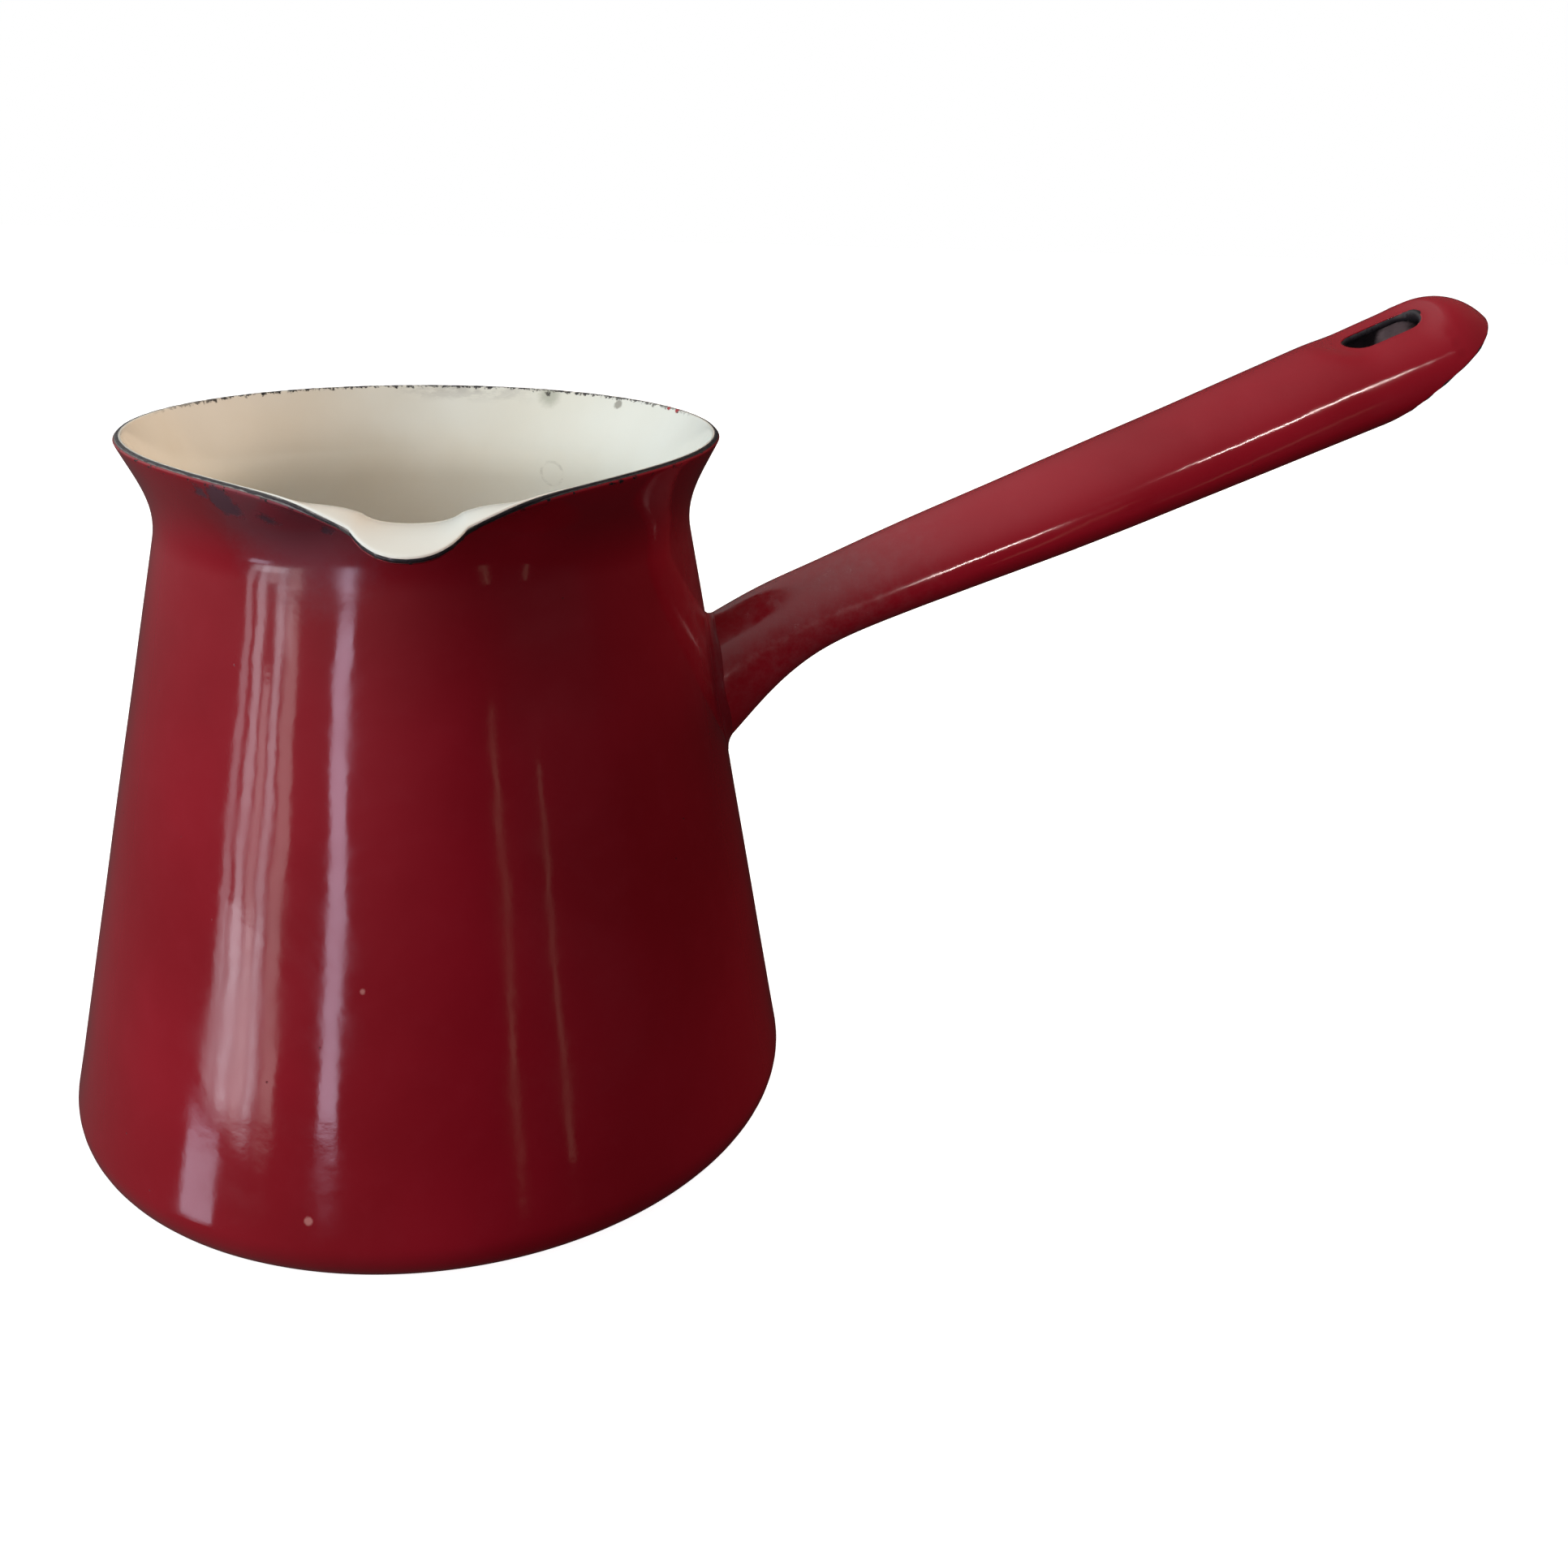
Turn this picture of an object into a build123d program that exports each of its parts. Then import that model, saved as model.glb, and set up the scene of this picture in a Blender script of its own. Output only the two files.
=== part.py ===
from build123d import *
import os
from math import cos, sin, tan, radians, exp, hypot

# Enamelled steel coffee pot (cezve): a tapered deep-drawn pot with a flared collar pulled
# into a pouring lip, and a hollow rolled-sheet handle welded to its side.
# Millimetres. Origin: centre of the flat base on the resting plane. +Z up, +X along the
# handle, -Y towards the pouring lip. Angles around the pot are measured from the lip.

# ---- sheet and enamel -------------------------------------------------------------
STEEL = 0.7            # sheet of the pot and the handle
OUTER_COAT = 0.2       # red enamel
INNER_COAT = 0.2       # white lining, and the dark ground coat inside the handle
EDGE_COAT = 0.3        # dark enamel left on every cut edge of the sheet

# ---- pot --------------------------------------------------------------------------
NECK_RADIUS = 34.8     # narrowest outside radius
NECK_HEIGHT = 83.2     # height of the narrowest place
NECK_CURVE = 11.8      # outside radius of the curve between wall and collar
WALL_TAPER = 10.5      # degrees from vertical; the pot widens downwards
BASE_CORNER = 4.8      # outside radius between the base and the wall

# ---- collar and lip ---------------------------------------------------------------
COLLAR_LENGTH = 11.6   # from the neck circle to the rim, straight across
COLLAR_LEAN = 18.0     # degrees from vertical, of that straight line at the back
COLLAR_FLARE = 26.0    # degrees from vertical, of the collar's own end at the back
COLLAR_PULL = 5.0      # reach of the collar's end tangents, which sets its roundness
LIP_STRETCH = 0.8      # extra collar length at the lip's corners
LIP_LEAN = 37.0        # extra lean at the lip's corners
LIP_CURL = 84.0        # extra flare of the end at the lip's corners
LIP_PULL = 3.5         # extra roundness at the lip's corners
LIP_FADE = 20.0        # degrees over which the collar returns to its round form
LIP_HALF_ANGLE = 7.8   # from the middle of the lip to its corner
LIP_LENGTH = 4.2       # the tip stands this much further out than the corners
LIP_DEPTH = 2.1        # the tip lies this much lower than the corners
LIP_ROUNDNESS = 2.2    # exponent of the lip's outline

# ---- handle -----------------------------------------------------------------------
ROOT_HEIGHT = 59.0     # middle of the root on the pot's wall
HANDLE_SLOPE = 22.5    # degrees above horizontal along the grip
HANDLE_TWIST = 12.0    # degrees that the grip leans towards the lip, at the eye
# Stations of the outside: distance out from the wall at the root's height, rise of the
# top, rise of the bottom (both from the root's middle), half width, and the height of
# the widest place as a share of the section's height from its top.
HANDLE_STATIONS = (
    (-2.6, 7.7, -14.6, 7.0, 0.50),
    (2.4, 10.7, -9.0, 6.6, 0.50),
    (7.0, 13.2, -3.4, 6.7, 0.53),
    (13.0, 15.9, 2.4, 7.1, 0.57),
    (21.0, 19.5, 7.0, 7.7, 0.60),
    (41.0, 28.2, 15.0, 9.0, 0.62),
    (71.0, 41.3, 27.1, 9.8, 0.63),
    (91.0, 50.2, 35.4, 10.1, 0.63),
    (103.0, 55.5, 40.5, 10.2, 0.63),
    (120.0, 62.5, 47.6, 10.2, 0.63),
)
NOSE_RADIUS = 10.2     # rounded far end
NOSE_OUT = 104.8       # middle of the rounding, out from the wall
NOSE_RISE = 45.4       # the same, up from the root's middle
NOSE_BLEND = 30.0      # length of grip that the rounding's body covers
HEEL_OUT = 97.5       # where the open underside of the end begins
HEEL_RISE = 39.5
END_CUT_ANGLE = 44.4   # degrees above horizontal, of the open underside
SEAM_WIDTH = 1.2       # closed butt seam along the underside
EYE_OUT = 98.8         # hanging eye's middle, out from the wall along the handle's middle
EYE_LENGTH = 12.0
EYE_WIDTH = 6.2
WELD_GROWTH = (1.0, 0.6, 0.3)   # bead beyond the handle at the first three stations
WELD_REACH = 1.8       # bead's reach out from the pot's wall

PLACES_ALONG_RIB = 9   # points that carry the collar's curve
FAR = 400.0            # larger than the object

TAPER = radians(WALL_TAPER)
LAYERS = {
    "outside": 0.0,
    "steel_outside": OUTER_COAT,
    "steel_inside": OUTER_COAT + STEEL,
    "inside": OUTER_COAT + STEEL + INNER_COAT,
}
# The neck curve's middle, and the place where the straight wall meets the curve.
CURVE_R = NECK_RADIUS + NECK_CURVE
SHOULDER_R = CURVE_R - NECK_CURVE * cos(TAPER)
SHOULDER_Z = NECK_HEIGHT - NECK_CURVE * sin(TAPER)


def wall_radius(height, depth=0.0):
    """Radius of the straight wall at a height, at a depth under the outside."""
    return SHOULDER_R + (SHOULDER_Z - height) * tan(TAPER) - depth / cos(TAPER)


WALL_X = wall_radius(ROOT_HEIGHT)


# ---- pot body ---------------------------------------------------------------------
def body_fill(depth, top=None):
    """The pot below the shoulder as a filled solid, at a depth under the outside."""
    shoulder_r = SHOULDER_R - depth * cos(TAPER)
    shoulder_z = SHOULDER_Z - depth * sin(TAPER)
    corners = [(0, depth), (wall_radius(depth, depth), depth), (shoulder_r, shoulder_z)]
    if top is not None:
        corners.append((shoulder_r, top))
    corners.append((0, corners[-1][1]))
    profile = make_face(Polyline(*corners, close=True))
    corner = profile.vertices().sort_by_distance((corners[1][0], corners[1][1], 0))[0]
    profile = fillet(corner, max(BASE_CORNER - depth, 0.5))
    return revolve(Plane.XZ * profile, Axis.Z)


def body_layer(outer, inner):
    """The pot's wall and base between two depths; it ends square across the wall."""
    slab = body_fill(LAYERS[outer])
    hollow = body_fill(LAYERS[inner], top=SHOULDER_Z + 1)
    return slab - hollow


# ---- collar and lip ---------------------------------------------------------------
def rim_shape(angle):
    """Rim radius, rim height, end flare and tangent reach at an angle from the lip."""
    away = min(abs(angle), 360 - abs(angle))
    fade = exp(-max(away - LIP_HALF_ANGLE, 0) / LIP_FADE)
    length = COLLAR_LENGTH + LIP_STRETCH * fade
    lean = radians(COLLAR_LEAN + LIP_LEAN * fade)
    out = NECK_RADIUS + length * sin(lean)
    up = NECK_HEIGHT + length * cos(lean)
    flare = radians(COLLAR_FLARE + LIP_CURL * fade)
    pull = COLLAR_PULL + LIP_PULL * fade
    if away < LIP_HALF_ANGLE:
        share = 1 - (away / LIP_HALF_ANGLE) ** LIP_ROUNDNESS
        out += LIP_LENGTH * share
        up -= LIP_DEPTH * share
        pull += LIP_PULL * share * 0.7
    return out, up, flare, pull


def rib_point(angle, along, depth):
    """Radius and height of the collar at a place along a rib, under its outside."""
    out, up, flare, pull = rim_shape(angle)
    ends = (
        (SHOULDER_R, SHOULDER_Z),
        (SHOULDER_R - pull * sin(TAPER), SHOULDER_Z + pull * cos(TAPER)),
        (out - COLLAR_PULL * sin(flare), up - COLLAR_PULL * cos(flare)),
        (out, up),
    )
    back = 1 - along
    weights = (back**3, 3 * back**2 * along, 3 * back * along**2, along**3)
    r, z = (sum(w * p[i] for w, p in zip(weights, ends)) for i in (0, 1))
    slopes = (back**2, 2 * back * along, along**2)
    steps = zip(slopes, ends, ends[1:])
    dr, dz = map(sum, zip(*((s * (b[0] - a[0]), s * (b[1] - a[1])) for s, a, b in steps)))
    size = hypot(dr, dz)
    return r - depth * dz / size, z + depth * dr / size, dr / size, dz / size


def place(angle, r, z):
    """A point in space from a place on the half plane at an angle from the lip."""
    around = radians(angle - 90)
    return (r * cos(around), r * sin(around), z)


def rib(angle, outer, inner):
    """The closed outline of one layer of the collar, cut on the half plane."""
    sides = []
    for depth in (LAYERS[outer], LAYERS[inner]):
        steps = [i / (PLACES_ALONG_RIB - 1) for i in range(PLACES_ALONG_RIB)]
        marks = [place(angle, *rib_point(angle, step, depth)[:2]) for step in steps]
        sides.append(Edge.make_spline([Vector(*m) for m in marks]))
    front, back = sides
    top = Edge.make_line(front @ 1, back @ 1)
    foot = Edge.make_line(back @ 0, front @ 0)
    return Wire([front, top, back, foot])


def edge_rib(angle):
    """The closed outline of the dark edging on the rim, cut on the half plane."""
    corners = []
    for depth, beyond in (("outside", 0), ("outside", 1), ("inside", 1), ("inside", 0)):
        r, z, dr, dz = rib_point(angle, 1.0, LAYERS[depth])
        reach = EDGE_COAT * beyond
        corners.append(place(angle, r + dr * reach, z + dz * reach))
    return Wire.make_polygon([Vector(*c) for c in corners], close=True)


def rib_angles():
    """Angles of the ribs: the lip from corner to corner, and the collar round the back."""
    lip = [LIP_HALF_ANGLE * i / 4 for i in range(-4, 5)]
    count = 13
    half = [LIP_HALF_ANGLE + (180 - LIP_HALF_ANGLE) * (i / count) ** 1.5 for i in range(count + 1)]
    return lip, half + [360 - a for a in reversed(half[:-1])]


def ring_over(outline):
    """A closed ring lofted over the outlines that a function gives at each angle."""
    lip, collar = (Solid.make_loft([outline(a) for a in angles]) for angles in rib_angles())
    return lip + collar


def pot_layer(outer, inner):
    """One layer of the whole pot: body, collar and lip in one piece."""
    collar = ring_over(lambda angle: rib(angle, outer, inner))
    return body_layer(outer, inner).fuse(collar, tol=0.004)


# ---- handle -----------------------------------------------------------------------
def twist_at(out):
    """Lean of the handle's section towards the lip, growing evenly from the wall."""
    return HANDLE_TWIST * min(max(out / EYE_OUT, 0.0), 1.0)


def handle_section(station, depth):
    """One outline across the handle: a high crown over a shallow underside."""
    out, top, bottom, half_width, widest = station
    crown = (top - bottom) * widest
    belly = (top - bottom) - crown
    slant = depth / cos(radians(HANDLE_SLOPE))
    middle = (WALL_X + out, 0, ROOT_HEIGHT + top - crown)
    face = Plane(origin=middle, x_dir=(0, 1, 0), z_dir=(1, 0, 0)) * Rot(0, 0, twist_at(out))
    upper = EllipticalCenterArc((0, 0), half_width - depth, crown - slant, arc_size=180)
    lower = EllipticalCenterArc(
        (0, 0), half_width - depth, belly - slant, start_angle=180, arc_size=180
    )
    return (face * (upper + lower)).wire()


def grip_plane(out):
    """A plane at the middle of the grip: x along the handle, z out through its crown."""
    slope = radians(HANDLE_SLOPE)
    rise = ROOT_HEIGHT + NOSE_RISE - (NOSE_OUT - out) * tan(slope)
    level = Plane(
        origin=(WALL_X + out, 0, rise),
        x_dir=(cos(slope), 0, sin(slope)),
        z_dir=(-sin(slope), 0, cos(slope)),
    )
    return level * Rot(twist_at(out), 0, 0)


def handle_fill(depth):
    """The handle as a filled solid at a depth under its outside, with its round end."""
    bar = Solid.make_loft([handle_section(station, depth) for station in HANDLE_STATIONS])
    nose = (WALL_X + NOSE_OUT, 0, ROOT_HEIGHT + NOSE_RISE)
    along = (cos(radians(HANDLE_SLOPE)), 0, sin(radians(HANDLE_SLOPE)))
    tip = Plane(origin=nose, x_dir=(0, 1, 0), z_dir=along)
    radius = NOSE_RADIUS - depth
    cover = Sphere(radius) + Pos(0, 0, -NOSE_BLEND / 2) * Cylinder(radius, NOSE_BLEND)
    rest = Pos(0, 0, -NOSE_BLEND * 0.6 - FAR / 2) * Box(FAR, FAR, FAR)
    return bar & (tip * (cover + rest))


def end_cut(inset):
    """Everything past the open underside of the handle's end."""
    heel = (WALL_X + HEEL_OUT, 0, ROOT_HEIGHT + HEEL_RISE)
    lean = radians(END_CUT_ANGLE)
    face = Plane(origin=heel, x_dir=(0, 1, 0), z_dir=(sin(lean), 0, -cos(lean)))
    return face * (Pos(0, 0, FAR / 2 - inset) * Box(FAR, FAR, FAR))


def eye_cut(margin):
    """The hanging eye through the crown of the handle."""
    outline = SlotOverall(EYE_LENGTH + 2 * margin, EYE_WIDTH + 2 * margin)
    return grip_plane(EYE_OUT) * extrude(outline, NOSE_RADIUS * 2)


def weld_fill():
    """The weld's envelope: the handle's root grown by the bead, close to the wall."""
    grown = []
    for station, growth in zip(HANDLE_STATIONS, WELD_GROWTH):
        grown.append(handle_section(station, -growth))
    return Solid.make_loft(grown) & body_fill(-WELD_REACH)


def seam_slot():
    """The straight butt seam where the rolled sheet's two edges meet, up to the heel."""
    length = 2 * HEEL_OUT
    slot = Pos(0, 0, -length / 2) * Box(length, SEAM_WIDTH, length)
    return grip_plane(0.0) * (Rot(HANDLE_TWIST * HEEL_OUT / EYE_OUT / 2, 0, 0) * slot)


# ---- the pieces -------------------------------------------------------------------
def pot_pieces():
    """Steel, outer enamel, lining and rim edging of the pot."""
    return {
        "pot_shell": pot_layer("steel_outside", "steel_inside"),
        "pot_red_enamel": pot_layer("outside", "steel_outside") - weld_fill(),
        "pot_white_lining": pot_layer("steel_inside", "inside"),
        "rim_edge_enamel": ring_over(edge_rib),
    }


def handle_pieces():
    """Steel, seam, weld and enamels of the handle."""
    fills = {name: handle_fill(depth) for name, depth in LAYERS.items()}
    pot_outside = body_fill(LAYERS["outside"])
    pot_steel = body_fill(LAYERS["steel_outside"])
    bead = weld_fill()
    opened = end_cut(EDGE_COAT) + eye_cut(EDGE_COAT)
    slot = seam_slot()

    sheet = fills["steel_outside"] - fills["steel_inside"] - pot_steel - opened
    red = fills["outside"] - fills["steel_outside"] - pot_outside - bead - opened
    hollow = fills["inside"] - pot_outside
    ground = fills["steel_inside"] - pot_steel - hollow - opened
    thickness = fills["outside"] - fills["inside"]
    eye_ring = (thickness & (eye_cut(EDGE_COAT) - eye_cut(0.0))) - end_cut(EDGE_COAT)
    end_rim = (thickness & (end_cut(EDGE_COAT) - end_cut(0.0))) - pot_outside
    return {
        "handle_shell": sheet - slot,
        "handle_seam_weld": sheet & slot,
        "handle_root_weld": bead - fills["steel_outside"] - pot_steel,
        "handle_red_enamel": red,
        "handle_ground_coat": ground,
        "eye_edge_enamel": eye_ring,
        "handle_end_edge_enamel": end_rim,
    }


def main():
    os.makedirs("parts", exist_ok=True)
    for node, piece in {**pot_pieces(), **handle_pieces()}.items():
        solids = piece.solids()
        export_step(Compound(children=list(solids)), f"parts/{node}.step")
        print(node, len(solids), round(sum(s.volume for s in solids), 1))


main()
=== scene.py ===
import bmesh
import bpy
import numpy as np
from math import cos, pi, radians, sin, sqrt, tan
from mathutils import Matrix, Vector


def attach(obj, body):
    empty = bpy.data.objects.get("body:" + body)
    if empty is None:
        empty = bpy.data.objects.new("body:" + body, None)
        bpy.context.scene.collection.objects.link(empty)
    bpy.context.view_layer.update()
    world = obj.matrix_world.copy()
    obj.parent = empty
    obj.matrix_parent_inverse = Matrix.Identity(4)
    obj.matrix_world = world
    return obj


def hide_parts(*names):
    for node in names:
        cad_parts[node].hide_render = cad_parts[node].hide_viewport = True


# Looks of an enamelled steel coffee pot. Shapes are worked out in millimetres in the
# part's own frame (+Z up, +X along the handle, -Y towards the lip) and written in metres.

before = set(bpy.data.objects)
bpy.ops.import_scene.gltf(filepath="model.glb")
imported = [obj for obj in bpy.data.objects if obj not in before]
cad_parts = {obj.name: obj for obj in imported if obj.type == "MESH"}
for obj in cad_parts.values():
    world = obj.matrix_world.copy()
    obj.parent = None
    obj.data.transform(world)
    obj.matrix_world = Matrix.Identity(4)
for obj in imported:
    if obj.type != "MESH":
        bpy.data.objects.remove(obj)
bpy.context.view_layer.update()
MM = 0.001

# ---- sizes of the part -------------------------------------------------------------
NECK_RADIUS, NECK_HEIGHT, NECK_CURVE = 34.8, 83.2, 11.8
TAPER = radians(10.5)
BASE_CORNER = 4.8
COLLAR_LENGTH, COLLAR_LEAN, COLLAR_FLARE, COLLAR_PULL = 11.6, 18.0, 26.0, 5.0
LIP_STRETCH, LIP_LEAN, LIP_CURL, LIP_PULL, LIP_FADE = 0.8, 37.0, 84.0, 3.5, 20.0
LIP_HALF_ANGLE, LIP_LENGTH, LIP_DEPTH, LIP_ROUNDNESS = 7.8, 4.2, 2.1, 2.2
RED, STEEL, WALL = 0.2, 0.9, 1.1          # depths of the layers under the outside
CURVE_R = NECK_RADIUS + NECK_CURVE
SHOULDER_R = CURVE_R - NECK_CURVE * cos(TAPER)
SHOULDER_Z = NECK_HEIGHT - NECK_CURVE * sin(TAPER)
LIP_CURL_FADE = 12.0                       # degrees over which the lip's curl dies away
EDGE_REACH = 0.28                          # the dark edging stands this far over the rim

ROOT_HEIGHT = 59.0
SLOPE, TWIST = radians(22.5), radians(12.0)
STATIONS = np.array((
    (-2.6, 7.7, -14.6, 7.0, 0.50),
    (2.4, 10.7, -9.0, 6.6, 0.50),
    (7.0, 13.2, -3.4, 6.7, 0.53),
    (13.0, 15.9, 2.4, 7.1, 0.57),
    (21.0, 19.5, 7.0, 7.7, 0.60),
    (41.0, 28.2, 15.0, 9.0, 0.62),
    (71.0, 41.3, 27.1, 9.8, 0.63),
    (91.0, 50.2, 35.4, 10.1, 0.63),
    (103.0, 55.5, 40.5, 10.2, 0.63),
    (120.0, 62.5, 47.6, 10.2, 0.63),
))
NOSE_RADIUS, NOSE_OUT, NOSE_RISE = 10.2, 104.8, 45.4
HEEL_OUT, HEEL_RISE, END_CUT = 97.5, 39.5, radians(44.4)
EYE_OUT, EYE_LENGTH, EYE_WIDTH = 98.8, 12.0, 6.2
EYE_SKIN_OUT = 95.3                        # the eye's middle on the skin, out from the wall
EYE_DISH, EYE_DISH_REACH = 1.2, 3.0        # the sheet dips towards the eye
END_ROOM = 0.3                             # the cut leaves this much for the edging


# ---- helpers -----------------------------------------------------------------------
def wavy(points, length, count=9, seed=1):
    """A smooth wandering field over points, about -1 to 1, with a typical wavelength."""
    rng = np.random.default_rng(seed)
    total = np.zeros(points.shape[:-1])
    for _ in range(count):
        way = rng.normal(size=3)
        way /= np.linalg.norm(way)
        turn = 2 * pi / (length * rng.uniform(0.6, 1.6))
        total += np.sin(points @ way * turn + rng.uniform(0, 2 * pi))
    return total / sqrt(count)


def ripple(angles, count, seed, low=3, high=60):
    """A wandering field round a closed ring of angles in radians."""
    rng = np.random.default_rng(seed)
    total = np.zeros_like(angles)
    for _ in range(count):
        total += np.sin(angles * rng.integers(low, high) + rng.uniform(0, 2 * pi))
    return total / sqrt(count)


def smooth(x, low, high):
    t = np.clip((x - low) / (high - low), 0, 1)
    return t * t * (3 - 2 * t)


def mesh_piece(name, verts, faces, node, attributes=None):
    """A shown piece from points in millimetres, standing for a CAD node."""
    mesh = bpy.data.meshes.new(name)
    mesh.from_pydata((np.asarray(verts) * MM).tolist(), [], [list(map(int, f)) for f in faces])
    mesh.validate()
    bm = bmesh.new()
    bm.from_mesh(mesh)
    bmesh.ops.recalc_face_normals(bm, faces=bm.faces)
    bm.to_mesh(mesh)
    bm.free()
    for key, values in (attributes or {}).items():
        layer = mesh.attributes.new(key, "FLOAT", "POINT")
        layer.data.foreach_set("value", np.asarray(values, np.float32))
    mesh.polygons.foreach_set("use_smooth", [True] * len(mesh.polygons))
    piece = bpy.data.objects.new(name, mesh)
    bpy.context.scene.collection.objects.link(piece)
    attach(piece, "root")
    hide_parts(node)
    return piece


def grid_faces(rows, columns, first=0, wrap_rows=False, wrap_columns=True):
    """Quads of a grid of points stored row after row."""
    r = np.arange(rows if wrap_rows else rows - 1)
    c = np.arange(columns if wrap_columns else columns - 1)
    a = r[:, None] * columns + c[None]
    b = r[:, None] * columns + (c[None] + 1) % columns
    down = ((r + 1) % rows)[:, None] * columns
    d, e = down + c[None], down + (c[None] + 1) % columns
    return np.stack([a, b, e, d], -1).reshape(-1, 4) + first


# ---- pot shape ---------------------------------------------------------------------
def wall_radius(height, depth=0.0):
    return SHOULDER_R + (SHOULDER_Z - height) * tan(TAPER) - depth / cos(TAPER)


WALL_X = wall_radius(ROOT_HEIGHT)


def rim_shape(angle):
    """Rim radius, height, end flare and tangent reach at angles from the lip."""
    away = np.minimum(np.abs(angle), 360 - np.abs(angle))
    fade = np.exp(-np.maximum(away - LIP_HALF_ANGLE, 0) / LIP_FADE)
    length = COLLAR_LENGTH + LIP_STRETCH * fade
    lean = np.radians(COLLAR_LEAN + LIP_LEAN * fade)
    out = NECK_RADIUS + length * np.sin(lean)
    up = NECK_HEIGHT + length * np.cos(lean)
    curl = np.exp(-(np.maximum(away - LIP_HALF_ANGLE, 0) / LIP_CURL_FADE) ** 2)
    flare = np.radians(COLLAR_FLARE + LIP_CURL * curl)
    pull = COLLAR_PULL + LIP_PULL * fade
    share = 1 - np.clip(away / LIP_HALF_ANGLE, 0, 1) ** LIP_ROUNDNESS
    return out + LIP_LENGTH * share, up - LIP_DEPTH * share, flare, pull + LIP_PULL * share * 0.7


def rib(angle, along, depth):
    """Points (radius, height) of the collar and their direction, for arrays of angles."""
    out, up, flare, pull = rim_shape(angle)
    one = np.ones_like(out)
    ends = np.stack([
        np.stack([one * SHOULDER_R, one * SHOULDER_Z], -1),
        np.stack([SHOULDER_R - pull * sin(TAPER), SHOULDER_Z + pull * cos(TAPER)], -1),
        np.stack([out - COLLAR_PULL * np.sin(flare), up - COLLAR_PULL * np.cos(flare)], -1),
        np.stack([out, up], -1),
    ])
    t = np.asarray(along)[..., None]
    b = 1 - t
    p = b**3 * ends[0] + 3 * b**2 * t * ends[1] + 3 * b * t**2 * ends[2] + t**3 * ends[3]
    d = b**2 * (ends[1] - ends[0]) + 2 * b * t * (ends[2] - ends[1]) + t**2 * (ends[3] - ends[2])
    d /= np.linalg.norm(d, axis=-1, keepdims=True)
    side = np.stack([-d[..., 1], d[..., 0]], -1)
    return p + side * np.asarray(depth)[..., None], d, side


def pot_angles(count=512):
    """Even angles round the pot, in degrees from the lip."""
    return np.linspace(-180, 180, count + 1)[:-1]


def side_rows(angles, depth, foot=26, corner=14, wall=46, collar=44):
    """Rows of (radius, height) from the base's middle to the rim, at one depth."""
    radius = BASE_CORNER - depth
    centre_z = depth + radius
    centre_r = wall_radius(centre_z, depth) - radius / cos(TAPER)
    rows = [np.array([r, depth]) for r in np.linspace(0, centre_r, foot)[1:]]
    for turn in np.linspace(-pi / 2, TAPER, corner)[1:]:
        rows.append(np.array([centre_r + radius * cos(turn), centre_z + radius * sin(turn)]))
    low = rows[-1]
    high = np.array([SHOULDER_R - depth * cos(TAPER), SHOULDER_Z - depth * sin(TAPER)])
    for t in np.linspace(0, 1, wall)[1:-1]:
        rows.append(low + (high - low) * t)
    rows = [np.broadcast_to(r, (len(angles), 2)) for r in rows]
    for t in np.linspace(0, 1, collar)[:-1]:
        rows.append(rib(angles, np.full(len(angles), t), np.full(len(angles), depth))[0])
    return rows


def lift(angles, rows):
    """Points in space from rows of (radius, height) at angles from the lip."""
    around = np.radians(angles - 90)
    rows = np.asarray(rows)
    radius = rows[..., 0]
    return np.stack([radius * np.cos(around), radius * np.sin(around), rows[..., 1]], -1)


def edge_point(angles, depth, reach):
    """Points over the rim's end at given depths and reaches past the end."""
    one = np.ones(len(angles))
    p, d, _ = rib(angles, one, one * depth)
    return p + d * (one * reach)[:, None]


def cap_reach(depth):
    """Rounded end of the whole wall: reach past the rim at a depth."""
    return EDGE_REACH * np.sqrt(np.clip(1 - ((depth - WALL / 2) / (WALL / 2)) ** 2, 0, 1)) - 0.05


def pot_layer(name, outer, inner, node, end_from, end_to, dip=0.0, seed=1, count=512):
    """A closed layer of the pot. Its two sides are joined at the rim over a rounded end."""
    angles = pot_angles(count)
    one = np.ones(len(angles))
    rows = side_rows(angles, outer)
    for t in np.linspace(0, 1, 9):
        depth = (end_from * (1 - t) + end_to * t) * one
        rows.append(edge_point(angles, depth, cap_reach(depth)))
    rows += side_rows(angles, inner)[::-1]
    points = lift(angles, rows)
    flat = points.reshape(-1, 3)
    height = flat[:, 2]
    if dip:
        radial = flat * [1, 1, 0]
        radial /= np.linalg.norm(radial, axis=1, keepdims=True) + 1e-9
        amount = wavy(flat, 46, seed=seed) * 0.6 + wavy(flat, 17, seed=seed + 1) * 0.28
        amount = (amount - 1.0) * dip
        amount = np.clip(amount, -3 * dip, 0) * smooth(height, 3, 12)
        amount = amount * (1 - smooth(height, 78, 92))
        flat = flat + radial * amount[:, None]
    n = len(angles)
    first = np.array([[0, 0, outer], [0, 0, inner]])
    verts = np.concatenate([flat, first])
    faces = [list(f) for f in grid_faces(len(rows), n)]
    bottom, top = len(flat), len(flat) + 1
    last = (len(rows) - 1) * n
    for i in range(n):
        j = (i + 1) % n
        faces.append([bottom, j, i])
        faces.append([top, last + i, last + j])
    rim_z = rib(angles, one, one * (outer + inner) / 2)[0]
    gap = np.linalg.norm(np.asarray(rows) - rim_z[None], axis=-1).reshape(-1)
    gap = np.concatenate([gap, [60, 60]])
    return mesh_piece(name, verts, faces, node, {"rim_gap": gap})


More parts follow.
